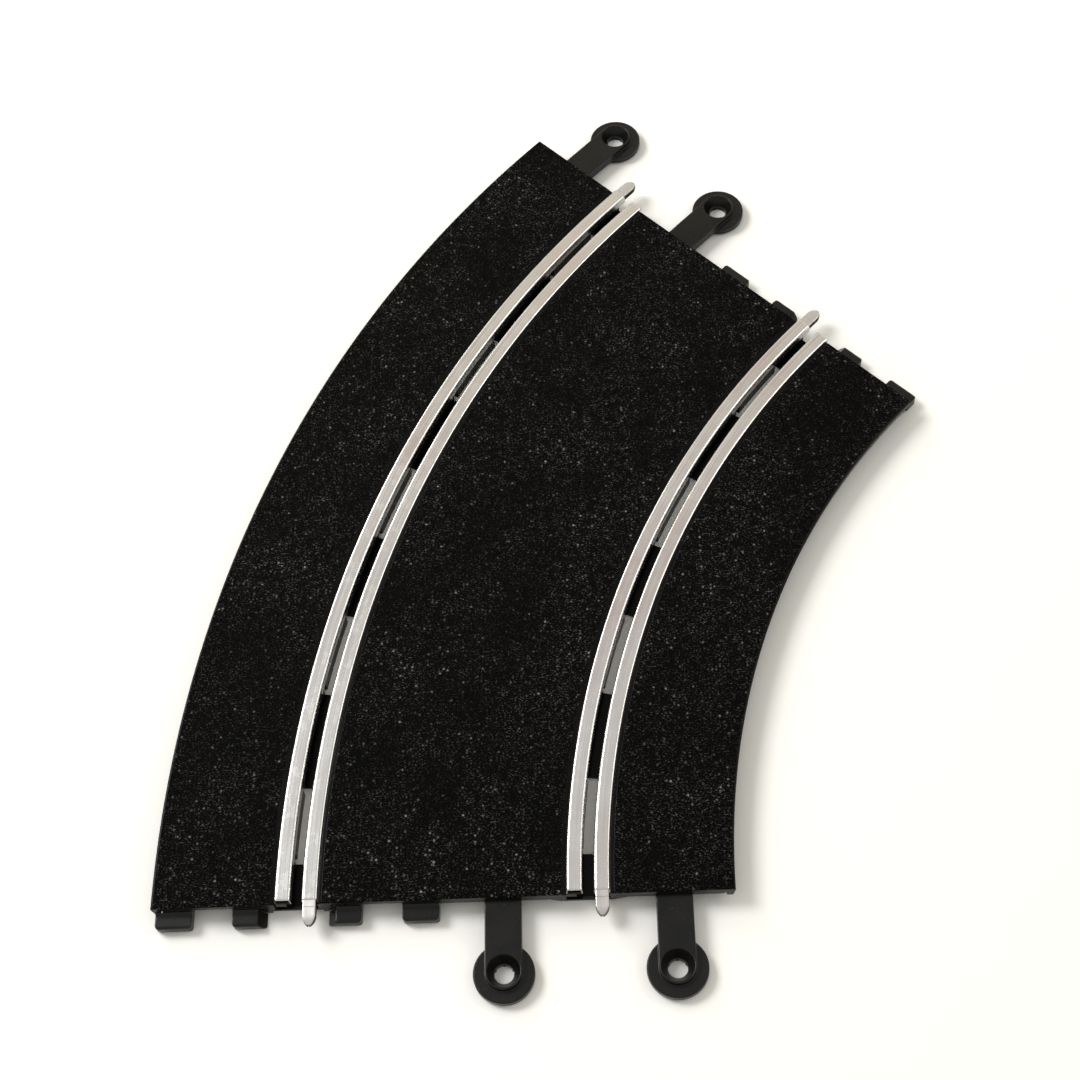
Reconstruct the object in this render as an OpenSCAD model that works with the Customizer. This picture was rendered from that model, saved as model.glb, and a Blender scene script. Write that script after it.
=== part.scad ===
// Curved slot car track section: two lanes, four folded steel rails, one moulded black roadbed.
// The section lies on a floor at Z = 0 with its origin at the bottom centre of its box.
// Cars travel along +Y and curve to the right, and the first end face lies along X.

/* [Road] */
// Radius of the road's outer edge
outer_radius = 370; // [330:1:600]
// Width of the road
road_width = 156; // [156:1:170]
// Angle that the section turns through
sweep = 45; // [40:1:60]
// Height of the road surface above the floor
road_height = 7; // [6.9:0.1:8]
// Thickness of the road plate
plate_thick = 2; // [1.6:0.1:2.2]
// Height of the gap between the floor and the edge walls
edge_gap = 2.6; // [1:0.1:3]

/* [Lanes] */
// Distance between the two guide slots
lane_spacing = 78; // [78:1:84]
// Width of a guide slot between its rails
slot_width = 3.05; // [2.8:0.05:3.4]
// Number of open windows in the outer lane's slot floor
outer_windows = 5; // [3:1:5]
// Number of open windows in the inner lane's slot floor
inner_windows = 4; // [2:1:4]
// Length of a window in a slot floor
window_length = 24; // [14:1:26]
// Length of the first and last window of each slot floor
end_window_length = 20.5; // [10:0.5:24]

/* [Rails] */
// Width of a rail
rail_width = 4.33; // [4.2:0.01:4.6]
// Thickness of the rail's folded sheet
rail_gauge = 0.3; // [0.25:0.05:0.4]
// Height of a rail's top above the road surface
rail_proud = 0.05; // [0:0.05:0.3]
// How far the rails and their tongues sit towards the far end of the road
rail_slip = 1.2; // [0:0.1:1.4]
// Length of a contact tongue beyond the end of its rail
tongue_reach = 7; // [5:0.1:8]
// Width of a contact tongue
tongue_width = 3.6; // [3:0.1:3.6]

/* [Links] */
// Distance from the end face to the centre of a lug's ring
lug_reach = 19.3; // [17:0.1:24]
// Sideways distance from a slot to the centre of a lug
lug_offset = 22.75; // [22.7:0.05:23]
// Outside radius of a lug's ring
ring_radius = 8.2; // [7:0.1:8.6]
// Width of a lug's bar
bar_width = 9.8; // [9.4:0.1:10]
// Radius of the hole in a lug's ring
hole_radius = 2.65; // [2.6:0.05:3]
// Radius of a snap peg under the road
peg_radius = 2.5; // [2.2:0.05:2.55]
// Length of an alignment tab beyond the end face
tab_reach = 4.5; // [3:0.1:6]

/* [Hidden] */
$fn = 64;
ARC_FN = 360;

ROAD_BLACK = [0.10, 0.10, 0.10];
MOULDED_BLACK = [0.15, 0.15, 0.16];
RAIL_STEEL = [0.80, 0.79, 0.75];

// Radii of the road and its lanes
inner_radius = outer_radius - road_width;
centre_radius = outer_radius - road_width / 2;
half_lanes = lane_spacing / 2;
outer_lane = centre_radius + half_lanes;
inner_lane = centre_radius - half_lanes;

// Offsets from a slot's centre line and heights above the floor
rail_in = slot_width / 2;
rail_out = rail_in + rail_width;
rail_middle = rail_in + rail_width / 2;
rail_top = road_height + rail_proud;
rail_bend = 0.8;
leg_bottom = 4;
band_width = 1;
band_drop = 0.15;
lane_out = rail_out + band_width;
plate_bottom = road_height - plate_thick;
shelf_bottom = 3;
slot_wall = 1.6;
bridge_thick = 0.9;
slot_end_gap = 1.5;
sill_end_gap = 0.75;
sill_half = lane_out - 0.05;
window_end_distance = 24.6;
fixing_gap = 2.4;
fixing_width = 1.6;
fixing_reach = 2.2;
fixing_in = rail_out - rail_gauge + 0.03;
fixing_out = rail_out - 0.03;

// Edge walls, ribs and end walls under the plate
edge_round = 0.6;
edge_lean = 0.2;
edge_wall = 1.6;
rib_thick = 1.4;
rib_bays = 6;
end_wall = 1.8;
end_wall_bottom = road_height - 3.4;
edge_inset = edge_wall + 1.2;

// Lugs, pegs and alignment tabs
lug_root = 12;
bar_bottom = 1.7;
bar_top = plate_bottom - 0.2;
bar_bevel = 0.15;
disc_height = 3;
hole_height = 2;
recess_radius = bar_width / 2 - 0.4;
nub_depth = 0.2;
nub_width = 0.5;
nub_bottom = 0.2;
nub_top = 0.8;
peg_bottom = 0.4;
peg_cone = 2.4;
peg_root_radius = 4.2;
notch_side = bar_width / 2 + 0.5;
tab_bottom = 0.4;
tab_root = 8;
tab_round = 1.2;
tab_fillet = 1;
inner_tab = [10.5, 17.4];
inner_tab_foot = 8.2;
outer_tab = [28.3, 38.2];
outer_tab_root = 36.2;

// Contact tongues inside and beyond the rails' ends
tongue_root = 8.5;
tongue_height = 2.2;
tongue_nose = 3.5;
tongue_blunt = 0.5;
seam_place = 1.9;
seat_cut_length = 10;
seat_cut_bottom = 4.3;

// Box of the whole section, measured from the centre of the curve
x_low = -outer_radius;
x_high = tab_round + (tab_reach - tab_round) * sin(sweep)
    - (centre_radius - half_lanes - outer_tab[1] + tab_round) * cos(sweep);
y_low = -lug_reach - ring_radius;
y_high = (outer_lane + lug_offset) * sin(sweep) + lug_reach * cos(sweep) + ring_radius;

function turn(length, radius) = length / radius * 180 / PI;

// Start and end angle of each window in a lane's slot floor
function windows(lane, count) =
    let (first = turn(window_end_distance, lane), pitch = (sweep - 2 * first) / (count - 1))
    [for (k = [0 : count - 1])
        let (half = turn(k == 0 || k == count - 1 ? end_window_length : window_length, lane) / 2)
        [first + k * pitch - half, first + k * pitch + half]];

// Angles at which a lane's slot changes between bridged and open, with its two ends
function slot_marks(lane, count) =
    let (gap = turn(slot_end_gap, lane))
    concat([gap], [for (w = windows(lane, count)) each w], [sweep - gap]);

module placed() translate([-(x_low + x_high) / 2, -(y_low + y_high) / 2, 0]) children();

// Sweeps a profile of radius and height from one angle along the road to another
module along_road(from, to)
    rotate([0, 0, 180 - to]) rotate_extrude(angle = to - from, $fn = ARC_FN) children();

// Frames at the two ends: +Y points out of the road and the lanes lie at X = +-half_lanes.
// Tabs, pegs and sockets are on the +X lane, and lugs are on the -X lane.
module near_end() rotate([0, 0, 180]) translate([centre_radius, 0, 0]) children();
module far_end() rotate([0, 0, -sweep]) translate([-centre_radius, 0, 0]) children();

module along_y(from, to) translate([0, to, 0]) rotate([90, 0, 0]) linear_extrude(to - from) children();
module both_sides() for (side = [-1, 1]) scale([side, 1, 1]) children();

// Road plate's profile beside a lane: a lip under the rail's edge and a smooth lower band
function lip(lane, side) = [
    [lane + side * lane_out, plate_bottom], [lane + side * lane_out, shelf_bottom],
    [lane + side * rail_out, shelf_bottom], [lane + side * rail_out, road_height - band_drop],
    [lane + side * lane_out, road_height - band_drop], [lane + side * lane_out, road_height]
];
function edge(radius, side) = [
    [radius - side * edge_round * 0.7, road_height], [radius, road_height - edge_round],
    [radius - side * edge_lean, plate_bottom]
];
function backwards(points) = [for (k = [len(points) - 1 : -1 : 0]) points[k]];

module roadway(profile) color(ROAD_BLACK) along_road(0, sweep) polygon(profile);

module outer_roadway() roadway(concat(lip(outer_lane, 1), edge(outer_radius, 1)));
module centre_roadway() roadway(concat(lip(inner_lane, 1), backwards(lip(outer_lane, -1))));
module inner_roadway() roadway(concat(lip(inner_lane, -1), edge(inner_radius, -1)));

// Wall that hangs from the road's edge and leans in towards its foot
module edge_wall(radius, side)
    color(MOULDED_BLACK) along_road(0, sweep) polygon([
        [radius - side * edge_lean, plate_bottom], [radius - side * edge_lean * 3, edge_gap],
        [radius - side * (edge_lean * 3 + edge_wall), edge_gap],
        [radius - side * edge_inset, plate_bottom]
    ]);
module outer_edge_wall() edge_wall(outer_radius, 1);
module inner_edge_wall() edge_wall(inner_radius, -1);

// One side of a guide slot: a wall down to the floor, a shelf, and the seat inside the rail
module slot_wall_profile(lane, side)
    polygon([for (p = [
        [rail_in, 0], [rail_in + slot_wall, 0], [rail_in + slot_wall, shelf_bottom],
        [rail_out, shelf_bottom], [rail_out, leg_bottom], [rail_out - rail_gauge, leg_bottom],
        [rail_out - rail_gauge, rail_top - rail_bend], [rail_out - rail_bend, rail_top - rail_gauge],
        [rail_in + rail_bend, rail_top - rail_gauge], [rail_in + rail_gauge, rail_top - rail_bend],
        [rail_in + rail_gauge, leg_bottom], [rail_in, leg_bottom]
    ]) [lane + side * p[0], p[1]]]);

// Room in the seats for the tongues of this section and of its neighbour
module seat_cuts()
    for (lane = [-half_lanes, half_lanes]) translate([lane, 0, 0]) both_sides()
        translate([rail_in + rail_gauge, -seat_cut_length, seat_cut_bottom])
            cube([rail_width - 2 * rail_gauge, seat_cut_length + 1, road_height]);

// The wall is broken wherever the slot floor changes, and the rails' fixings pass there
module slot_wall(lane, side, count)
    color(MOULDED_BLACK) difference() {
        marks = slot_marks(lane, count);
        half_gap = turn(fixing_gap, lane) / 2;
        for (k = [0 : len(marks) - 2])
            along_road(marks[k] + (k == 0 ? 0 : half_gap),
                       marks[k + 1] - (k == len(marks) - 2 ? 0 : half_gap))
                slot_wall_profile(lane, side);
        near_end() seat_cuts();
        far_end() seat_cuts();
    }
module outer_lane_outside_wall() slot_wall(outer_lane, 1, outer_windows);
module outer_lane_inside_wall() slot_wall(outer_lane, -1, outer_windows);
module inner_lane_outside_wall() slot_wall(inner_lane, 1, inner_windows);
module inner_lane_inside_wall() slot_wall(inner_lane, -1, inner_windows);

// Floor of a guide slot between its windows
module slot_bridges(lane, count)
    color(MOULDED_BLACK) {
        marks = slot_marks(lane, count);
        half_gap = turn(fixing_gap, lane) / 2;
        for (k = [0 : 2 : len(marks) - 2])
            along_road(marks[k] + (k == 0 ? 0 : half_gap),
                       marks[k + 1] - (k == len(marks) - 2 ? 0 : half_gap))
                translate([lane - rail_in, 0]) square([slot_width, bridge_thick]);
    }
module outer_lane_slot_bridges() slot_bridges(outer_lane, outer_windows);
module inner_lane_slot_bridges() slot_bridges(inner_lane, inner_windows);

// Low bar across the foot of one lane's slot, between two angles just inside an end of the road.
// It meets the slot walls behind it and stays below the guide blade.
module slot_sill(lane, from, to)
    color(MOULDED_BLACK) along_road(from, to)
        translate([lane - sill_half, 0]) square([2 * sill_half, bridge_thick]);
module near_slot_sills()
    for (lane = [outer_lane, inner_lane]) slot_sill(lane, turn(sill_end_gap, lane), turn(slot_end_gap, lane));
module far_slot_sills()
    for (lane = [outer_lane, inner_lane])
        slot_sill(lane, sweep - turn(slot_end_gap, lane), sweep - turn(sill_end_gap, lane));

// Straight ribs across the underside, from one radius to another
module ribs(from, to)
    color(MOULDED_BLACK) for (k = [1 : rib_bays - 1]) rotate([0, 0, 180 - sweep * k / rib_bays])
        translate([from, -rib_thick / 2, edge_gap])
            cube([to - from, rib_thick, plate_bottom - edge_gap]);
module outer_road_ribs() ribs(outer_lane + lane_out, outer_radius - edge_inset);
module centre_road_ribs() ribs(inner_lane + lane_out, outer_lane - lane_out);
module inner_road_ribs() ribs(inner_radius + edge_inset, inner_lane - lane_out);

// Piece of an end wall beside a slot, with a gusset that reaches down to the given height
module gusseted_wall(foot, from, to, end)
    along_y(-end_wall, 0) polygon([
        [lane_out, plate_bottom], [lane_out, foot], [from, foot],
        [inner_tab[0], end_wall_bottom], [end, end_wall_bottom], [end, plate_bottom]
    ]);
module plain_wall(from, to)
    translate([from, -end_wall, end_wall_bottom]) cube([to - from, end_wall, plate_bottom - end_wall_bottom]);

module end_wall_pieces()
    color(MOULDED_BLACK) {
        bar_side = bar_width / 2;
        outermost = road_width / 2 - edge_inset;
        translate([half_lanes, 0, 0]) both_sides()
            gusseted_wall(0.6, inner_tab_foot, inner_tab[0], lug_offset - notch_side);
        translate([-half_lanes, 0, 0]) both_sides()
            gusseted_wall(2, lane_out + 0.1, inner_tab[0], lug_offset - bar_side);
        plain_wall(half_lanes + lug_offset + notch_side, outermost);
        plain_wall(-half_lanes + lug_offset + bar_side, half_lanes - lug_offset - notch_side);
        plain_wall(-outermost, -half_lanes - lug_offset - bar_side);
    }
module near_end_wall() near_end() end_wall_pieces();
module far_end_wall() far_end() end_wall_pieces();

// Side view of a tab's front: bevelled nose, rounded top edge and a curved step up to the road
module tab_side_view()
    difference() {
        polygon([
            [0, tab_bottom], [tab_reach - 0.5, tab_bottom], [tab_reach, tab_bottom + 0.7],
            [tab_reach, end_wall_bottom - 0.6], [tab_reach - 0.25, end_wall_bottom - 0.15],
            [tab_reach - 0.7, end_wall_bottom], [tab_fillet, end_wall_bottom],
            [tab_fillet, end_wall_bottom + tab_fillet], [0, end_wall_bottom + tab_fillet]
        ]);
        translate([tab_fillet, end_wall_bottom + tab_fillet]) circle(tab_fillet);
    }

// Tab's outline from above, with its two front corners rounded
module tab_plan(from, to)
    union() {
        translate([from, -1]) square([to - from, 1 + tab_reach - tab_round]);
        translate([from + tab_round, 0]) square([to - from - 2 * tab_round, tab_reach]);
        for (x = [from + tab_round, to - tab_round])
            translate([x, tab_reach - tab_round]) circle(tab_round);
    }

module tab(foot, from, to, root_end)
    union() {
        intersection() {
            translate([from, 0, 0]) rotate([90, 0, 90]) translate([0, 0, foot - from])
                linear_extrude(to - foot) tab_side_view();
            linear_extrude(road_height) tab_plan(foot, to);
            along_y(-1, tab_reach + 1) polygon([
                [foot, tab_bottom], [from, end_wall_bottom], [from, road_height],
                [to, road_height], [to, tab_bottom]
            ]);
        }
        translate([from, -tab_root, tab_bottom])
            cube([root_end - from, tab_root, end_wall_bottom - tab_bottom]);
        translate([from, -tab_root, tab_bottom])
            cube([root_end - from, tab_root - end_wall, plate_bottom - tab_bottom]);
    }

module alignment_tabs()
    color(MOULDED_BLACK) translate([half_lanes, 0, 0]) both_sides() {
        tab(inner_tab_foot, inner_tab[0], inner_tab[1], inner_tab[1]);
        tab(outer_tab[0], outer_tab[0], outer_tab[1], outer_tab_root);
    }
module near_alignment_tabs() near_end() alignment_tabs();
module far_alignment_tabs() far_end() alignment_tabs();

// Peg that a neighbour's ring snaps over, on a conical root under the plate
module snap_pegs()
    color(MOULDED_BLACK) for (x = [half_lanes - lug_offset, half_lanes + lug_offset])
        translate([x, -lug_reach, 0]) rotate_extrude() polygon([
            [0, peg_bottom], [peg_radius - 0.3, peg_bottom], [peg_radius, peg_bottom + 0.3],
            [peg_radius, peg_cone], [peg_root_radius, plate_bottom], [0, plate_bottom]
        ]);
module near_snap_pegs() near_end() snap_pegs();
module far_snap_pegs() far_end() snap_pegs();

// Lug with its bar's centre line on X = 0: a springy bar that ends in a flat ring
module lug()
    color(MOULDED_BLACK) union() {
        difference() {
            union() {
                along_y(-lug_root, lug_reach) polygon([
                    [-bar_width / 2, bar_bottom], [bar_width / 2, bar_bottom],
                    [bar_width / 2, bar_top - bar_bevel], [bar_width / 2 - bar_bevel, bar_top],
                    [-bar_width / 2 + bar_bevel, bar_top], [-bar_width / 2, bar_top - bar_bevel]
                ]);
                translate([-bar_width / 2, -lug_root, bar_bottom])
                    cube([bar_width, lug_root - 0.5, plate_bottom - bar_bottom]);
                translate([0, lug_reach, 0]) rotate_extrude() polygon([
                    [0, bar_bottom], [bar_width / 2, bar_bottom], [bar_width / 2, bar_top - bar_bevel],
                    [bar_width / 2 - bar_bevel, bar_top], [0, bar_top]
                ]);
                translate([0, lug_reach, 0]) rotate_extrude() polygon([
                    [0, 0], [ring_radius - 0.6, 0], [ring_radius, 0.9], [ring_radius, disc_height - 0.3],
                    [ring_radius - 0.3, disc_height], [0, disc_height]
                ]);
            }
            translate([0, lug_reach, 0]) rotate_extrude() polygon([
                [0, -1], [hole_radius, -1], [hole_radius, hole_height],
                [recess_radius, bar_top], [recess_radius, bar_top + 1], [0, bar_top + 1]
            ]);
        }
        translate([0, lug_reach, 0]) for (angle = [30 : 60 : 330]) rotate([0, 0, angle])
            translate([hole_radius - nub_depth, -nub_width / 2, nub_bottom])
                cube([nub_depth + 0.3, nub_width, nub_top - nub_bottom]);
    }
module near_left_lug() near_end() translate([-half_lanes + lug_offset, 0, 0]) lug();
module near_right_lug() near_end() translate([-half_lanes - lug_offset, 0, 0]) lug();
module far_left_lug() far_end() translate([-half_lanes + lug_offset, 0, 0]) lug();
module far_right_lug() far_end() translate([-half_lanes - lug_offset, 0, 0]) lug();

// Rectangle from X = low to high, up to a height, with its two top corners rounded
module round_topped(low, high, top, radius)
    union() {
        translate([low, leg_bottom]) square([high - low, top - radius - leg_bottom]);
        translate([low + radius, leg_bottom]) square([high - low - 2 * radius, top - leg_bottom]);
        for (x = [low + radius, high - radius]) translate([x, top - radius]) circle(radius, $fn = 32);
    }

// Sheet folded into an upside-down channel, with bent fixings that grip the road's lip
module rail(lane, side, count)
    color(RAIL_STEEL) union() {
        slip = turn(rail_slip, lane);
        along_road(slip, sweep + slip) translate([lane, 0]) scale([side, 1]) difference() {
            round_topped(rail_in, rail_out, rail_top, rail_bend);
            translate([0, -rail_gauge])
                round_topped(rail_in + rail_gauge, rail_out - rail_gauge, rail_top, rail_bend - rail_gauge);
            translate([rail_in + rail_gauge, leg_bottom - 1]) square([rail_width - 2 * rail_gauge, 1.5]);
        }
        half = turn(fixing_width, lane) / 2;
        for (window = windows(lane, count)) for (mark = window)
            along_road(mark - half, mark + half) polygon([for (p = [
                [fixing_in, leg_bottom + 0.5], [fixing_in, shelf_bottom - rail_gauge],
                [rail_out + fixing_reach, shelf_bottom - rail_gauge], [rail_out + fixing_reach, shelf_bottom],
                [fixing_out, shelf_bottom], [fixing_out, leg_bottom + 0.5]
            ]) [lane + side * p[0], p[1]]]);
    }
module outer_lane_outside_rail() rail(outer_lane, 1, outer_windows);
module outer_lane_inside_rail() rail(outer_lane, -1, outer_windows);
module inner_lane_outside_rail() rail(inner_lane, 1, inner_windows);
module inner_lane_inside_rail() rail(inner_lane, -1, inner_windows);

// Tongue's outline from above: straight sides and a blunt pointed nose
module tongue_plan(width, reach)
    union() {
        translate([-width / 2, -tongue_root]) square([width, tongue_root + reach - tongue_nose]);
        intersection() {
            nose_radius = (pow(tongue_nose, 2) + pow(width / 2, 2)) / width;
            for_x = nose_radius - width / 2;
            translate([-for_x, reach - tongue_nose]) circle(nose_radius);
            translate([for_x, reach - tongue_nose]) circle(nose_radius);
            translate([-width, reach - tongue_nose]) square([2 * width, tongue_nose - tongue_blunt]);
        }
    }

// Folded contact tongue, open below, held inside the end of its rail
module tongue()
    color(RAIL_STEEL) translate([-rail_middle, 0, rail_top - rail_gauge - tongue_height]) difference() {
        reach = tongue_reach + tongue_blunt;
        linear_extrude(tongue_height) tongue_plan(tongue_width, reach);
        translate([0, 0, -1]) linear_extrude(tongue_height + 1 - rail_gauge)
            tongue_plan(tongue_width - 2 * rail_gauge, reach - rail_gauge);
        translate([-tongue_width, -tongue_root - 1, -1])
            cube([2 * tongue_width, 2, tongue_height + 1 - rail_gauge]);
        translate([-tongue_width, seam_place, tongue_height - 0.1]) cube([2 * tongue_width, 0.15, 1]);
    }
module near_outer_lane_tongue() near_end() translate([half_lanes, -rail_slip, 0]) tongue();
module near_inner_lane_tongue() near_end() translate([-half_lanes, -rail_slip, 0]) tongue();
module far_outer_lane_tongue() far_end() translate([-half_lanes, rail_slip, 0]) tongue();
module far_inner_lane_tongue() far_end() translate([half_lanes, rail_slip, 0]) tongue();

placed() outer_roadway();
placed() centre_roadway();
placed() inner_roadway();
placed() outer_edge_wall();
placed() inner_edge_wall();
placed() outer_lane_outside_wall();
placed() outer_lane_inside_wall();
placed() outer_lane_slot_bridges();
placed() inner_lane_outside_wall();
placed() inner_lane_inside_wall();
placed() inner_lane_slot_bridges();
placed() outer_road_ribs();
placed() centre_road_ribs();
placed() inner_road_ribs();
placed() near_end_wall();
placed() far_end_wall();
placed() near_slot_sills();
placed() far_slot_sills();
placed() near_alignment_tabs();
placed() far_alignment_tabs();
placed() near_snap_pegs();
placed() far_snap_pegs();
placed() near_left_lug();
placed() near_right_lug();
placed() far_left_lug();
placed() far_right_lug();
placed() outer_lane_outside_rail();
placed() outer_lane_inside_rail();
placed() inner_lane_outside_rail();
placed() inner_lane_inside_rail();
placed() near_outer_lane_tongue();
placed() near_inner_lane_tongue();
placed() far_outer_lane_tongue();
placed() far_inner_lane_tongue();
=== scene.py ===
"""Looks of the curved slot car track section: gritty road, moulded links and folded steel rails."""
import math
import random

import bmesh
import bpy
import numpy as np
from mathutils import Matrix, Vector


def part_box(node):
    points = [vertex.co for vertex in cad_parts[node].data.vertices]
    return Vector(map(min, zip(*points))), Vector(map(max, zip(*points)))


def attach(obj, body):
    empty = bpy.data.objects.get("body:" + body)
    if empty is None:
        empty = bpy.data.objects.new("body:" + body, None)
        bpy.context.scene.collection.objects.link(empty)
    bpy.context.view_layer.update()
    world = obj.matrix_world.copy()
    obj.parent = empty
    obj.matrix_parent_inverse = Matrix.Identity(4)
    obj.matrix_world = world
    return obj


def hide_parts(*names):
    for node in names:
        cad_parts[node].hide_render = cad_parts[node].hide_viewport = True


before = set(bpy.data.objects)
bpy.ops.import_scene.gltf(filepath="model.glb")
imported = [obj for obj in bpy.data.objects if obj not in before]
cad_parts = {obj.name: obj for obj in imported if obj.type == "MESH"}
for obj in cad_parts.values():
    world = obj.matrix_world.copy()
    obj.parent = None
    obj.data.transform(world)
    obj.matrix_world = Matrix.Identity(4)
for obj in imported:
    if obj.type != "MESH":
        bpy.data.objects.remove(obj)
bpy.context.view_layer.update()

random.seed(11)
noise = np.random.default_rng(11)
MM = 0.001
SWEEP = math.radians(45)

# ---- Dimensions in millimetres that are measured on the CAD frame ----
road_low, road_high = (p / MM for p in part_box("outer_roadway"))
OUTER_RADIUS = (road_high.y - road_low.y) / math.sin(SWEEP)
CENTRE_X, CENTRE_Y = road_low.x + OUTER_RADIUS, road_low.y
INNER_RADIUS = (CENTRE_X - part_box("inner_roadway")[1].x / MM) / math.cos(SWEEP)
ROAD_TOP = road_high.z
RAIL_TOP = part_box("outer_lane_outside_rail")[1].z / MM
EDGE_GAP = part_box("outer_edge_wall")[0].z / MM
PLATE_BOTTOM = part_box("outer_edge_wall")[1].z / MM
SHELF_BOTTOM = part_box("centre_roadway")[0].z / MM
CENTRE_RADIUS = (OUTER_RADIUS + INNER_RADIUS) / 2

# ---- Other dimensions in millimetres ----
HALF_LANES = 39
LANES = {"outer_lane": CENTRE_RADIUS + HALF_LANES, "inner_lane": CENTRE_RADIUS - HALF_LANES}
WINDOWS = {"outer_lane": 5, "inner_lane": 4}
RAIL_IN = 1.525
RAIL_OUT = 5.855
RAIL_MIDDLE = (RAIL_IN + RAIL_OUT) / 2
RAIL_GAUGE = 0.3
RAIL_BEND = 0.8
LEG_BOTTOM = 4
RAIL_SLIP = 1.2
BAND_WIDTH = 1
BAND_DROP = 0.15
EDGE_ROUND = 0.6
EDGE_LEAN = 0.2
EDGE_WALL = 1.6
EDGE_INSET = 2.8

GRIT_STEP = 0.7
GRIT_DEPTH = 0.045
END_ROUND = 0.3


# ---- Places along the road ----
def on_road(radius, along, height):
    """Point at a radius and an angle from the near end, in metres in the row frame."""
    return Vector((CENTRE_X - radius * math.cos(along), CENTRE_Y + radius * math.sin(along), height)) * MM


def near_end(x, y, z):
    """Point in the near end's own frame, where +Y leads out of the road."""
    return Vector((CENTRE_X - CENTRE_RADIUS - x, CENTRE_Y - y, z)) * MM


def far_end(x, y, z):
    """Point in the far end's own frame, where +Y leads out of the road."""
    c, s = math.cos(SWEEP), math.sin(SWEEP)
    across = x - CENTRE_RADIUS
    return Vector((CENTRE_X + across * c + y * s, CENTRE_Y - across * s + y * c, z)) * MM


def spread(start, stop, step):
    """Evenly spaced values from start to stop, about a step apart."""
    return list(np.linspace(start, stop, max(2, int(round(abs(stop - start) / step)) + 1)))


def arc(x, z, radius, start, stop, parts):
    """Points on an arc, with angles in degrees."""
    turns = [math.radians(start + (stop - start) * k / parts) for k in range(parts + 1)]
    return [(x + radius * math.cos(t), z + radius * math.sin(t)) for t in turns]


# ---- Mesh building ----
def add_loft(bm, rings, slots, capped=True, cap_slot=0):
    """Joins rings of points into a closed tube. slots gives each ring edge's material index.
    The UV map runs along the tube and round its rings, in metres."""
    layer = bm.loops.layers.uv.verify()
    count = len(rings[0])
    made = [[bm.verts.new(p) for p in ring] for ring in rings]
    along = [0.0]
    for a, b in zip(rings, rings[1:]):
        along.append(along[-1] + (sum(b, Vector()) / count - sum(a, Vector()) / count).length)
    widest = rings[len(rings) // 2]
    around = [0.0]
    for k in range(count):
        around.append(around[-1] + (widest[(k + 1) % count] - widest[k]).length)
    for i in range(len(rings) - 1):
        for k in range(count):
            n = (k + 1) % count
            face = bm.faces.new((made[i][k], made[i][n], made[i + 1][n], made[i + 1][k]))
            face.material_index = slots[k]
            face.smooth = True
            corners = ((i, k), (i, k + 1), (i + 1, k + 1), (i + 1, k))
            for loop, (row, column) in zip(face.loops, corners):
                loop[layer].uv = (along[row], around[column])
    if capped:
        for ring in (made[0], made[-1]):
            face = bm.faces.new(ring)
            face.material_index = cap_slot


def make_piece(name, bm, materials, replaced, sharp=40):
    """Turns a bmesh into a piece that rides on the section and stands for CAD nodes."""
    bmesh.ops.recalc_face_normals(bm, faces=bm.faces)
    mesh = bpy.data.meshes.new(name)
    bm.to_mesh(mesh)
    bm.free()
    piece = bpy.data.objects.new(name, mesh)
    bpy.context.scene.collection.objects.link(piece)
    for material in materials:
        mesh.materials.append(material)
    mesh.set_sharp_from_angle(angle=math.radians(sharp))
    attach(piece, "root")
    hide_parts(*replaced)
    return piece


# ---- Materials ----
class Shader:
    """Small helper that adds nodes to a new material and links them."""

    def __init__(self, name):
        self.material = bpy.data.materials.new(name)
        self.material.use_nodes = True
        self.tree = self.material.node_tree
        self.bsdf = self.tree.nodes["Principled BSDF"]

    def add(self, kind, inputs=None, **settings):
        """New node, with each input either linked or given a value."""
        node = self.tree.nodes.new(kind)
        for key, value in settings.items():
            setattr(node, key, value)
        for key, value in (inputs or {}).items():
            if isinstance(value, bpy.types.NodeSocket):
                self.tree.links.new(value, node.inputs[key])
            else:
                node.inputs[key].default_value = value
        return node

    def place(self, output, scale=(1, 1, 1)):
        """Texture coordinates of one kind, scaled along each axis."""
        where = self.add("ShaderNodeTexCoord")
        return self.add("ShaderNodeMapping", {"Vector": where.outputs[output], "Scale": scale}).outputs[0]

    def noise(self, vector, scale, detail=3.0, roughness=0.5):
        return self.add("ShaderNodeTexNoise", {
            "Vector": vector, "Scale": scale, "Detail": detail, "Roughness": roughness}).outputs["Fac"]

    def ramp(self, value, low, high, to_low=0.0, to_high=1.0):
        """Value stretched from one range to another, and kept inside it."""
        inputs = {"Value": value, "From Min": low, "From Max": high, "To Min": to_low, "To Max": to_high}
        return self.add("ShaderNodeMapRange", inputs).outputs[0]

    def math(self, operation, a, b):
        return self.add("ShaderNodeMath", {0: a, 1: b}, operation=operation).outputs[0]

    def mix(self, factor, a, b):
        node = self.add("ShaderNodeMix", data_type="RGBA")
        for socket, value in ((node.inputs[0], factor), (node.inputs[6], a), (node.inputs[7], b)):
            if isinstance(value, bpy.types.NodeSocket):
                self.tree.links.new(value, socket)
            else:
                socket.default_value = value
        return node.outputs[2]

    def bump(self, height, strength, distance, before=None):
        inputs = {"Height": height, "Strength": strength, "Distance": distance}
        if before:
            inputs["Normal"] = before
        return self.add("ShaderNodeBump", inputs).outputs[0]

    def set(self, **sockets):
        """Fills the surface shader's own sockets and gives back the finished material."""
        for key, value in sockets.items():
            socket = self.bsdf.inputs[key.replace("_", " ")]
            if isinstance(value, bpy.types.NodeSocket):
                self.tree.links.new(value, socket)
            else:
                socket.default_value = value
        return self.material


def grey(value, warm=0.0):
    """Grey of a given lightness, which warm tilts towards red."""
    return (value * (1 + warm), value, value * (1 - warm), 1)


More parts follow.
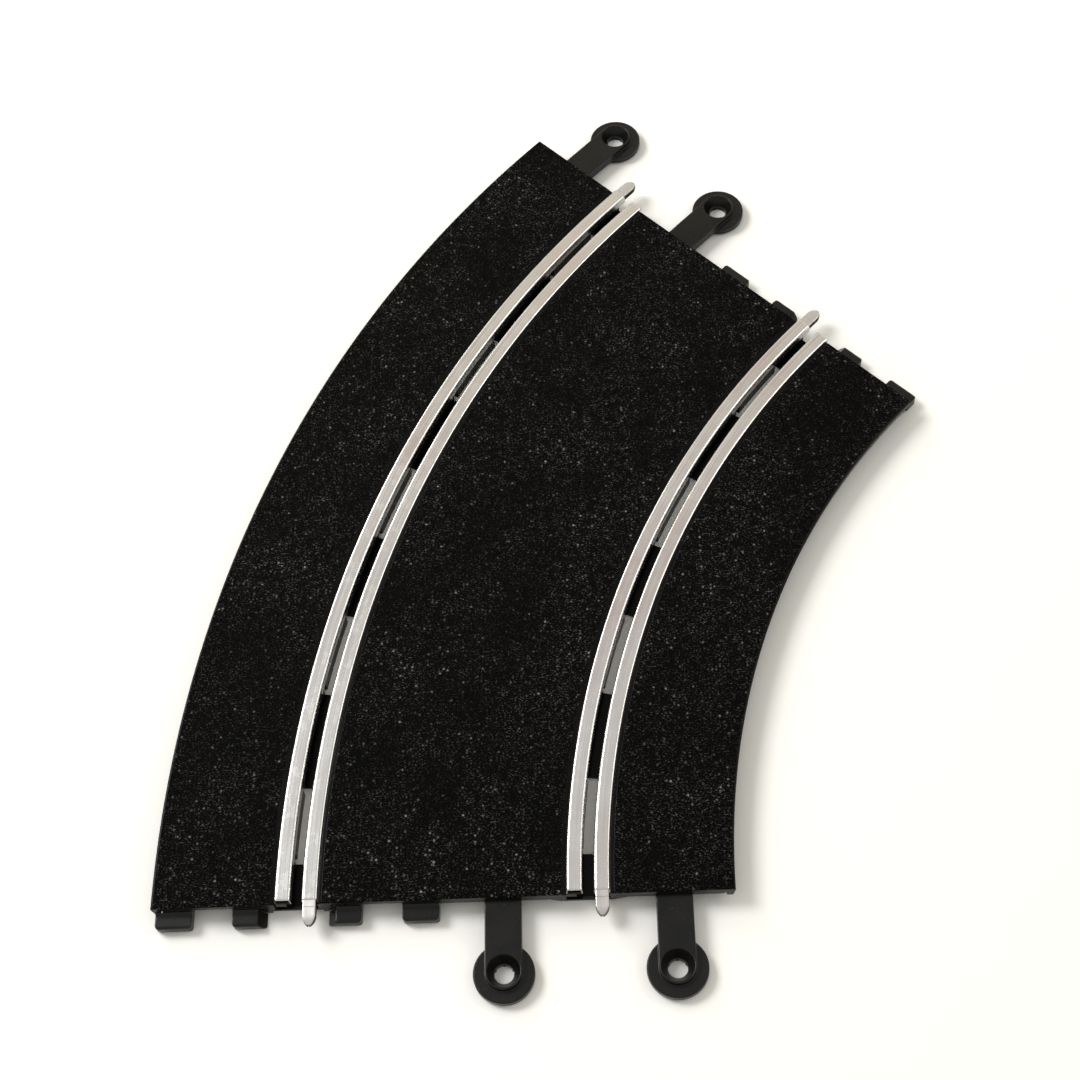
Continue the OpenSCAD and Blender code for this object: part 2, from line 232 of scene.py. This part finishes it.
def road_material():
    """Black plastic with a sandpaper grain on a nearly black ground, with painted highlights on the grit tops
    in drifts and painted glints dotted among them.
    """
    s = Shader("gritty_road_plastic")
    here = s.place("Object")
    drifts = s.noise(here, 55.0, 5.0, 0.65)
    clumps = s.noise(here, 420.0, 3.0, 0.6)
    fine = s.noise(here, 3200.0, 2.0, 0.6)
    grains = s.noise(s.place("Object", (1.0, 1.5, 1.0)), 1700.0, 1.0, 0.5)
    cover = s.math("MULTIPLY", s.ramp(drifts, 0.38, 0.64, 0.22, 1.0), s.ramp(clumps, 0.38, 0.60, 0.12, 1.0))
    colour = s.mix(s.ramp(fine, 0.40, 0.75), grey(0.0002, 0.05), grey(0.0026, 0.12))
    # Grit tops painted pale: painted highlights where light catches the grain, gathered in the drifts and
    # clumps.
    painted_grit_highlights = s.math("MULTIPLY", s.ramp(grains, 0.55, 0.74), cover)
    colour = s.mix(painted_grit_highlights, colour, grey(0.105, 0.05))
    # Sparse bright dots in the grain: painted glints, not pale grit.
    cells = s.add("ShaderNodeTexVoronoi", {"Vector": here, "Scale": 900.0, "Randomness": 1.0})
    chance = s.add("ShaderNodeSeparateColor", {"Color": cells.outputs["Color"]}).outputs[0]
    glow = s.math("POWER", s.ramp(chance, 0.70, 1.0), 2.5)
    painted_glint_dot = s.ramp(cells.outputs["Distance"], 0.40, 0.10)
    colour = s.mix(s.math("MULTIPLY", s.math("MULTIPLY", glow, painted_glint_dot), cover), colour, grey(0.38, 0.05))
    height = s.math("ADD", s.ramp(grains, 0.3, 0.7), s.math("MULTIPLY", fine, 0.6))
    height = s.math("ADD", height, s.math("MULTIPLY", clumps, 1.5))
    return s.set(Base_Color=colour, Roughness=s.ramp(fine, 0.3, 0.8, 0.42, 0.70),
                 Normal=s.bump(height, 1.0, 0.00022), Specular_IOR_Level=0.03)


def moulded_material(name, dark, pale, shine):
    """Smooth black moulded plastic with a satin skin, faint flow marks and handling scuffs."""
    s = Shader(name)
    here = s.place("Object")
    cloud = s.noise(here, 90.0, 4.0, 0.55)
    skin = s.noise(here, 2600.0, 3.0, 0.6)
    scuffs = s.noise(s.place("Object", (1.0, 0.22, 1.0)), 1400.0, 3.0, 0.7)
    dust = s.noise(here, 1500.0, 2.0, 0.6)
    colour = s.mix(s.ramp(cloud, 0.3, 0.75), grey(dark, 0.06), grey(pale, 0.10))
    colour = s.mix(s.ramp(scuffs, 0.64, 0.82, 0.0, 0.30), colour, grey(0.05, 0.05))
    colour = s.mix(s.ramp(dust, 0.66, 0.78, 0.0, 0.30), colour, grey(0.12, 0.04))
    height = s.math("ADD", skin, scuffs)
    return s.set(Base_Color=colour, Roughness=s.ramp(cloud, 0.3, 0.8, 0.24, 0.36),
                 Normal=s.bump(height, 0.35, 0.00003), Specular_IOR_Level=shine)


def steel_material(name, light, dark, rough_low, rough_high):
    """Tinned sheet steel with fine scratches that run along the strip, and mauve and brown tarnish."""
    s = Shader(name)
    streaks = s.noise(s.place("UV", (18.0, 2600.0, 1.0)), 1.0, 5.0, 0.65)
    scratches = s.noise(s.place("UV", (60.0, 9000.0, 1.0)), 1.0, 3.0, 0.7)
    stains = s.noise(s.place("Object"), 240.0, 5.0, 0.65)
    tarnish = s.noise(s.place("Object"), 17.0, 3.0, 0.55)
    colour = s.mix(s.ramp(streaks, 0.35, 0.7), dark, light)
    colour = s.mix(s.ramp(tarnish, 0.48, 0.68, 0.0, 0.45), colour, (0.60, 0.49, 0.46, 1))
    colour = s.mix(s.ramp(stains, 0.58, 0.78, 0.0, 0.50), colour, (0.40, 0.35, 0.28, 1))
    drawn = s.ramp(streaks, 0.3, 0.75, rough_low, rough_high)
    worn = s.math("ADD", drawn, s.ramp(stains, 0.5, 0.8, 0.0, 0.16))
    height = s.math("ADD", scratches, s.math("MULTIPLY", stains, 0.5))
    return s.set(Base_Color=colour, Metallic=1.0, Roughness=worn, Normal=s.bump(height, 0.25, 0.00004))


ROAD = road_material()
MOULDED = moulded_material("satin_moulded_plastic", 0.0025, 0.0065, 0.29)
BAND = moulded_material("smooth_road_plastic", 0.0008, 0.0030, 0.10)
RAIL = steel_material("bright_tinned_steel", (0.84, 0.84, 0.82, 1), (0.70, 0.69, 0.67, 1), 0.17, 0.32)
TONGUE = steel_material("satin_tinned_steel", (0.74, 0.73, 0.72, 1), (0.60, 0.59, 0.58, 1), 0.26, 0.42)
# Near-black steel for the tongues' lower sides and end caps: painted shade, not a real finish of the steel.
SHADED_TONGUE_STEEL = steel_material("painted_shade_steel", (0.045, 0.032, 0.024, 1), (0.018, 0.013, 0.010, 1), 0.50, 0.70)


# ---- Road plates ----
def lip(lane, side):
    """Plate's edge beside a rail, from its underside up to the road, as (radius, height, is_grit)."""
    def at(u, z):
        return (lane + side * u, z, False)

    inner, outer = RAIL_OUT, RAIL_OUT + BAND_WIDTH
    band = ROAD_TOP - BAND_DROP
    return [at(outer, PLATE_BOTTOM), at(outer, SHELF_BOTTOM), at(inner, SHELF_BOTTOM), at(inner, band - 0.12),
            at(inner + 0.04, band - 0.03), at(inner + 0.14, band), at(outer - 0.02, band),
            at(outer + 0.02, band + 0.05), at(outer + 0.06, ROAD_TOP - 0.03), at(outer + 0.16, ROAD_TOP)]


def rim(radius, side):
    """Road's rounded rim and the edge wall below it, from the road down and back to the underside."""
    def at(inset, z):
        return (radius - side * inset, z, False)

    rounded = [at(x, z) for x, z in arc(EDGE_ROUND, ROAD_TOP - EDGE_ROUND, EDGE_ROUND, 90, 180, 4)]
    lean = EDGE_LEAN * 3
    foot = [at(lean - 0.02, EDGE_GAP + 0.2), at(lean + 0.15, EDGE_GAP), at(lean + EDGE_WALL - 0.15, EDGE_GAP),
            at(lean + EDGE_WALL, EDGE_GAP + 0.15)]
    return rounded + foot + [at(EDGE_INSET, PLATE_BOTTOM)]


def across_road(start, stop):
    """Gritty points between two radii on the road."""
    return [(r, ROAD_TOP, True) for r in spread(start, stop, GRIT_STEP)[1:-1]]


def build_road(name, profile, replaced):
    """Sweeps a plate's profile along the road, with real grain on its top and a worn edge at each end."""
    bm = bmesh.new()
    radii = [p[0] for p in profile]
    middle = (min(radii) + max(radii)) / 2
    worn = [0, 0.06, 0.16, END_ROUND]
    length = middle * SWEEP
    between = spread(END_ROUND, length - END_ROUND, GRIT_STEP)[1:-1]
    places = worn + between + [length - d for d in reversed(worn)]
    grit = [k for k, p in enumerate(profile) if p[2]]
    rings = []
    for place in places:
        from_end = min(place, length - place)
        ring = []
        lift = noise.random(len(profile))
        for k, (radius, height, gritty) in enumerate(profile):
            if height > ROAD_TOP - END_ROUND:
                sink = END_ROUND - math.sqrt(max(0.0, END_ROUND ** 2 - max(0.0, END_ROUND - from_end) ** 2))
                height -= sink
            if gritty:
                to_side = min(k - grit[0], grit[-1] - k) + 1
                height -= GRIT_DEPTH * lift[k] * min(1.0, to_side / 2, from_end / 0.8)
            ring.append(on_road(radius, place / middle, height))
        rings.append(ring)
    count = len(profile)
    slots = [0 if profile[k][2] or profile[(k + 1) % count][2] else 1 for k in range(count)]
    add_loft(bm, rings, slots, cap_slot=2)
    return make_piece(name, bm, [ROAD, BAND, MOULDED], replaced, sharp=50)


def backwards(points):
    """Points in the opposite order."""
    return list(reversed(points))


outer_lane, inner_lane = LANES["outer_lane"], LANES["inner_lane"]
low, high = lip(outer_lane, 1), rim(OUTER_RADIUS, 1)
build_road("outer_road_surface", low + across_road(low[-1][0], high[0][0]) + high,
           ["outer_roadway", "outer_edge_wall"])
low, high = lip(inner_lane, 1), backwards(lip(outer_lane, -1))
build_road("centre_road_surface", low + across_road(low[-1][0], high[0][0]) + high, ["centre_roadway"])
low, high = lip(inner_lane, -1), rim(INNER_RADIUS, -1)
build_road("inner_road_surface", low + across_road(low[-1][0], high[0][0]) + high,
           ["inner_roadway", "inner_edge_wall"])


# ---- Rails ----
FIXING_WIDTH = 1.6
FIXING_REACH = 2.2
WINDOW_LENGTH = 24
END_WINDOW_LENGTH = 20.5
WINDOW_END_DISTANCE = 24.6


def folded_sheet(half_width, top, bottom, bend, gauge):
    """Closed outline of a sheet folded into an upside-down channel, centred on X = 0."""
    inner = max(0.05, bend - gauge)
    flat = min(0.08, half_width / 8)
    outside = ([(-half_width, top - bend - flat)] + arc(-half_width + bend, top - bend, bend, 180, 90, 5)
               + [(-half_width + bend + flat, top), (half_width - bend - flat, top)]
               + arc(half_width - bend, top - bend, bend, 90, 0, 5) + [(half_width, top - bend - flat)])
    inside = (arc(half_width - gauge - inner, top - gauge - inner, inner, 0, 90, 4)
              + arc(-half_width + gauge + inner, top - gauge - inner, inner, 90, 180, 4))
    return ([(-half_width, bottom)] + outside + [(half_width, bottom), (half_width - gauge, bottom)]
            + inside + [(-half_width + gauge, bottom)])


def window_marks(lane_name):
    """Angles of the ends of a slot's windows, where the rails' fixings are."""
    lane, count = LANES[lane_name], WINDOWS[lane_name]
    first = WINDOW_END_DISTANCE / lane
    pitch = (SWEEP - 2 * first) / (count - 1)
    marks = []
    for k in range(count):
        half = (END_WINDOW_LENGTH if k in (0, count - 1) else WINDOW_LENGTH) / lane / 2
        marks += [first + k * pitch - half, first + k * pitch + half]
    return marks


def build_rail(lane_name, side_name):
    """Folded rail with a slightly uneven top and ends that are pinched down a little."""
    lane = LANES[lane_name]
    side = 1 if side_name == "outside" else -1
    node = f"{lane_name}_{side_name}_rail"
    bm = bmesh.new()
    radius = lane + side * RAIL_MIDDLE
    length = radius * SWEEP
    phases = [random.uniform(0, 6.3) for _ in range(5)]
    ends = [0, 0.1, 0.25, 0.45, 0.7, 1.1]
    places = ends + spread(1.1, length - 1.1, 1.3)[1:-1] + [length - e for e in reversed(ends)]
    outline = folded_sheet((RAIL_OUT - RAIL_IN) / 2, RAIL_TOP, LEG_BOTTOM, RAIL_BEND, RAIL_GAUGE)
    rings = []
    for place in places:
        wave = sum(math.sin(place * f + p) for f, p in zip((0.09, 0.23, 0.61, 1.3), phases)) / 4
        from_end = min(place, length - place)
        sink = 0.012 * (1 + wave) + 0.16 * max(0.0, 1 - from_end / 0.5) ** 2
        sway = 0.012 * math.sin(place * 0.17 + phases[4])
        lean = 0.012 * math.sin(place * 0.05 + phases[0]) + 0.006 * math.sin(place * 0.31 + phases[1])
        ring = []
        for x, z in outline:
            is_top = z > RAIL_TOP - RAIL_BEND
            drop = sink + max(0.0, lean * x + 0.03) * 0.5 if is_top else 0
            ring.append(on_road(radius + x + sway, place / radius + RAIL_SLIP / lane, z - drop))
        rings.append(ring)
    add_loft(bm, rings, [0] * len(outline))
    foot = RAIL_OUT + FIXING_REACH
    leg = [(RAIL_OUT - RAIL_GAUGE, LEG_BOTTOM + 0.4), (RAIL_OUT - RAIL_GAUGE, SHELF_BOTTOM - RAIL_GAUGE),
           (foot, SHELF_BOTTOM - RAIL_GAUGE), (foot, SHELF_BOTTOM - 0.02),
           (RAIL_OUT - 0.03, SHELF_BOTTOM - 0.02), (RAIL_OUT - 0.03, LEG_BOTTOM + 0.4)]
    half = FIXING_WIDTH / lane / 2
    for mark in window_marks(lane_name):
        rings = [[on_road(lane + side * u, mark + turn * half, z) for u, z in leg]
                 for turn in (-1, -0.8, 0, 0.8, 1)]
        add_loft(bm, rings, [0] * len(leg))
    return make_piece(f"{node}_strip", bm, [RAIL], [node], sharp=50)


for lane_name in LANES:
    for side_name in ("outside", "inside"):
        build_rail(lane_name, side_name)

# ---- Guide slots ----
SLOT_WALL = 1.6
SLOT_END_GAP = 1.5
FIXING_GAP = 1.9
BRIDGE_TOP = 0.9
SEAT_CUT_LENGTH = 10
SEAT_CUT_BOTTOM = 4.3
CORNER = 0.12


def wall_profile():
    """Slot wall with its shelf and the seat inside the rail, and small bevels on its slot side."""
    top = RAIL_TOP - RAIL_GAUGE - 0.03
    seat_in, seat_out = RAIL_IN + RAIL_GAUGE + 0.03, RAIL_OUT - RAIL_GAUGE - 0.03
    bend = RAIL_BEND - RAIL_GAUGE
    return [(RAIL_IN + CORNER, 0), (RAIL_IN + SLOT_WALL, 0), (RAIL_IN + SLOT_WALL, SHELF_BOTTOM),
            (RAIL_OUT, SHELF_BOTTOM), (RAIL_OUT, LEG_BOTTOM), (seat_out, LEG_BOTTOM), (seat_out, top - bend),
            (seat_out - bend, top), (seat_in + bend, top), (seat_in, top - bend), (seat_in, LEG_BOTTOM),
            (RAIL_IN + CORNER, LEG_BOTTOM), (RAIL_IN, LEG_BOTTOM - CORNER), (RAIL_IN, CORNER)]


def add_segment(bm, lane, side, profile, start, stop):
    """Sweeps a profile between two angles, with softened ends and its seat cut low near the road's ends."""
    soft = 0.15 / lane
    turns = [start, start + soft] + spread(start + 2 * soft, stop - 2 * soft, 4 / lane) + [stop - soft, stop]
    low_ends = (SEAT_CUT_LENGTH / lane, SWEEP - SEAT_CUT_LENGTH / lane)
    for edge in low_ends:
        if start < edge < stop:
            turns += [edge - 0.00001, edge + 0.00001]
    middle = sum(u for u, z in profile) / len(profile)
    rings = []
    for turn in sorted(turns):
        ceiling = RAIL_TOP if low_ends[0] < turn < low_ends[1] else SEAT_CUT_BOTTOM
        shrink = 0.06 if turn in (start, stop) else 0
        rings.append([on_road(lane + side * (u + (shrink if u < middle else -shrink)), turn, min(z, ceiling))
                      for u, z in profile])
    add_loft(bm, rings, [0] * len(profile))


def build_slot(lane_name):
    """Both walls of a guide slot and the floor bridges between its windows."""
    lane = LANES[lane_name]
    gap, half_gap = SLOT_END_GAP / lane, FIXING_GAP / lane / 2
    marks = [gap] + window_marks(lane_name) + [SWEEP - gap]
    floor_profile = [(-RAIL_IN, 0), (RAIL_IN, 0), (RAIL_IN, BRIDGE_TOP - CORNER),
                     (RAIL_IN - CORNER, BRIDGE_TOP), (-RAIL_IN + CORNER, BRIDGE_TOP),
                     (-RAIL_IN, BRIDGE_TOP - CORNER)]
    bm = bmesh.new()
    for k, (start, stop) in enumerate(zip(marks, marks[1:])):
        start += 0 if k == 0 else half_gap
        stop -= 0 if k == len(marks) - 2 else half_gap
        for side in (1, -1):
            add_segment(bm, lane, side, wall_profile(), start, stop)
        if k % 2 == 0:
            add_segment(bm, lane, 1, floor_profile, start, stop)
    nodes = [f"{lane_name}_{part}" for part in ("outside_wall", "inside_wall", "slot_bridges")]
    return make_piece(f"{lane_name}_slot_channel", bm, [BAND], nodes, sharp=40)


for lane_name in LANES:
    build_slot(lane_name)

# ---- Contact tongues ----
TONGUE_ROOT = 8.5
TONGUE_REACH = 7
TONGUE_HALF = 1.8
TONGUE_NOSE = 3.1
TONGUE_TIP = 0.42
TONGUE_HEIGHT = 2.2
TONGUE_BEND = 0.28
TONGUE_TOP = RAIL_TOP - RAIL_GAUGE
SEAM_PLACE = 1.9
TONGUE_LEAN = 0.15
TONGUE_RAKE = 0.5
NOSE_CLOSES = 0.7


def build_tongue(node, place, lane_x, slip):
    """Folded tongue with straight sides, a crimped band near its root and a nose that dips to a point."""
    bm = bmesh.new()
    straight = TONGUE_REACH - TONGUE_NOSE
    stations = ([-TONGUE_ROOT, -4, -0.4, 0.1, 0.3, 1.0, SEAM_PLACE - 0.2, SEAM_PLACE - 0.1, SEAM_PLACE - 0.04]
                + [SEAM_PLACE + 0.04, SEAM_PLACE + 0.1, SEAM_PLACE + 0.25, 2.8, straight - 0.5]
                + [straight + TONGUE_NOSE * math.sin(math.pi / 2 * k / 14) for k in range(15)])
    rings = []
    for y in stations:
        nose = max(0.0, (y - straight) / TONGUE_NOSE)
        half = TONGUE_HALF - (TONGUE_HALF - TONGUE_TIP) * nose ** 1.8
        groove = 0.12 if abs(y - SEAM_PLACE) < 0.06 else 0
        band = 0.07 if y > SEAM_PLACE else 0
        top = TONGUE_TOP - groove - band - 0.55 * nose ** 2.2
        bottom = TONGUE_TOP - TONGUE_HEIGHT + 0.5 * nose ** 2.5
        closing = max(0.0, (nose - NOSE_CLOSES) / 0.3)
        gauge = min(RAIL_GAUGE, half * 0.45) * (1 - closing) + half * 0.86 * closing
        outline = folded_sheet(half, top, bottom, TONGUE_BEND, gauge)
        ring = []
        for x, z in outline:
            drop = (TONGUE_TOP - z) / TONGUE_HEIGHT
            leaning_x = x * (1 + TONGUE_LEAN * nose * drop)
            leaning_y = y + slip - TONGUE_RAKE * nose ** 2 * (1 - drop)
            ring.append(place(lane_x - RAIL_MIDDLE + leaning_x, leaning_y, z))
        rings.append(ring)
    count = len(outline)
    outline = folded_sheet(TONGUE_HALF, TONGUE_TOP, TONGUE_TOP - TONGUE_HEIGHT, TONGUE_BEND, RAIL_GAUGE)
    # Faces below the top bend and both end caps take the near-black steel, which paints shade on the tongue's
    # sides and nose.
    slots = []
    for k in range(count):
        edge_height = (outline[k][1] + outline[(k + 1) % count][1]) / 2
        slots.append(1 if edge_height < TONGUE_TOP - TONGUE_BEND else 0)
    add_loft(bm, rings, slots, cap_slot=1)
    return make_piece(f"{node}_strip", bm, [TONGUE, SHADED_TONGUE_STEEL], [node], sharp=45)


build_tongue("near_outer_lane_tongue", near_end, HALF_LANES, -RAIL_SLIP)
build_tongue("near_inner_lane_tongue", near_end, -HALF_LANES, -RAIL_SLIP)
build_tongue("far_outer_lane_tongue", far_end, -HALF_LANES, RAIL_SLIP)
build_tongue("far_inner_lane_tongue", far_end, HALF_LANES, RAIL_SLIP)


# ---- Moulded lugs, tabs and pegs ----
def soften(name, nodes, voxel, passes, keep):
    """Copy of CAD nodes with every edge softened the way a mould leaves it."""
    bm = bmesh.new()
    for node in nodes:
        bm.from_mesh(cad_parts[node].data)
    bmesh.ops.remove_doubles(bm, verts=bm.verts, dist=1e-7)
    mesh = bpy.data.meshes.new(name)
    bm.to_mesh(mesh)
    bm.free()
    piece = bpy.data.objects.new(name, mesh)
    bpy.context.scene.collection.objects.link(piece)
    remesh = piece.modifiers.new("remesh", "REMESH")
    remesh.mode = "VOXEL"
    remesh.voxel_size = voxel * MM
    smooth = piece.modifiers.new("smooth", "SMOOTH")
    smooth.factor, smooth.iterations = 0.5, passes
    thin = piece.modifiers.new("thin", "DECIMATE")
    thin.ratio = keep
    shaped = bpy.data.meshes.new_from_object(piece.evaluated_get(bpy.context.evaluated_depsgraph_get()))
    piece.modifiers.clear()
    piece.data = shaped
    shaped.name = name
    shaped.materials.clear()
    shaped.materials.append(MOULDED)
    for polygon in shaped.polygons:
        polygon.use_smooth = True
    shaped.set_sharp_from_angle(angle=math.radians(55))
    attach(piece, "root")
    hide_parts(*nodes)
    return piece


for lug in ("near_left_lug", "near_right_lug", "far_left_lug", "far_right_lug"):
    soften(f"{lug}_moulding", [lug], 0.11, 2, 0.2)
for tabs in ("near_alignment_tabs", "far_alignment_tabs"):
    soften(f"{tabs}_moulding", [tabs], 0.13, 2, 0.2)
for pegs in ("near_snap_pegs", "far_snap_pegs"):
    soften(f"{pegs}_moulding", [pegs], 0.14, 2, 0.3)
for wall in ("near_end_wall", "far_end_wall"):
    soften(f"{wall}_moulding", [wall], 0.14, 2, 0.15)

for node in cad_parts.values():
    node.data.materials.clear()
    node.data.materials.append(MOULDED)

# ---- Floor, light and camera ----
floor_mesh = bpy.data.meshes.new("floor")
floor_size = 4.0
floor_mesh.from_pydata([(-floor_size, -floor_size, 0), (floor_size, -floor_size, 0),
                        (floor_size, floor_size, 0), (-floor_size, floor_size, 0)], [], [(0, 1, 2, 3)])
floor = bpy.data.objects.new("floor", floor_mesh)
floor.location.z = -0.00003
bpy.context.scene.collection.objects.link(floor)
paper = Shader("pale_floor")
paper_shade = paper.noise(paper.place("Object"), 900.0, 3.0, 0.5)
paper.set(Base_Color=paper.mix(paper_shade, (0.90, 0.89, 0.85, 1), (0.92, 0.91, 0.87, 1)), Roughness=0.9)
floor_mesh.materials.append(paper.material)


def area_light(name, location, size, power, colour):
    """Round soft light that points at the origin."""
    light = bpy.data.lights.new(name, "AREA")
    light.shape, light.size, light.energy, light.color = "DISK", size, power, colour
    lamp = bpy.data.objects.new(name, light)
    lamp.location = location
    lamp.rotation_euler = (-Vector(location)).to_track_quat("-Z", "Y").to_euler()
    bpy.context.scene.collection.objects.link(lamp)


area_light("key", (-1.05, 0.42, 1.15), 0.7, 18, (0.985, 0.99, 1.0))
area_light("window", (-0.9, 1.0, 0.75), 0.5, 4.5, (1.0, 1.0, 1.0))
area_light("fill", (1.0, 0.1, 0.8), 0.5, 1.8, (1.0, 0.97, 0.90))

world = bpy.data.worlds.new("studio")
bpy.context.scene.world = world
world.use_nodes = True
tree = world.node_tree
direction = tree.nodes.new("ShaderNodeTexCoord")
parts = tree.nodes.new("ShaderNodeSeparateXYZ")
tree.links.new(direction.outputs["Generated"], parts.inputs[0])
glow = tree.nodes.new("ShaderNodeMapRange")
tree.links.new(parts.outputs["Y"], glow.inputs["Value"])
glow.inputs["From Min"].default_value = -1.0
room = tree.nodes.new("ShaderNodeValToRGB")
tree.links.new(glow.outputs[0], room.inputs[0])
tints = ((0.0, (0.62, 0.61, 0.57)), (0.61, (0.62, 0.62, 0.60)), (0.67, (0.70, 0.72, 0.71)),
         (0.735, (0.62, 0.58, 0.57)), (0.765, (0.50, 0.41, 0.39)), (0.79, (0.60, 0.53, 0.46)),
         (0.825, (0.88, 0.80, 0.65)), (1.0, (0.70, 0.66, 0.58)))
while len(room.color_ramp.elements) < len(tints):
    room.color_ramp.elements.new(0.5)
for stop, (where, tint) in zip(room.color_ramp.elements, tints):
    stop.position = where
    stop.color = (*tint, 1)
tree.links.new(room.outputs[0], tree.nodes["Background"].inputs["Color"])

camera_data = bpy.data.cameras.new("camera")
camera_data.sensor_width = 36
camera_data.lens = 64.3
camera_data.clip_start = 0.01
camera_data.clip_end = 20
camera = bpy.data.objects.new("camera", camera_data)
camera.location = (0.01888, -0.29586, 0.49511)
camera.rotation_euler = (math.radians(29.95), math.radians(3.27), math.radians(-0.95))
bpy.context.scene.collection.objects.link(camera)
bpy.context.scene.camera = camera
bpy.context.scene.view_settings.view_transform = "Standard"
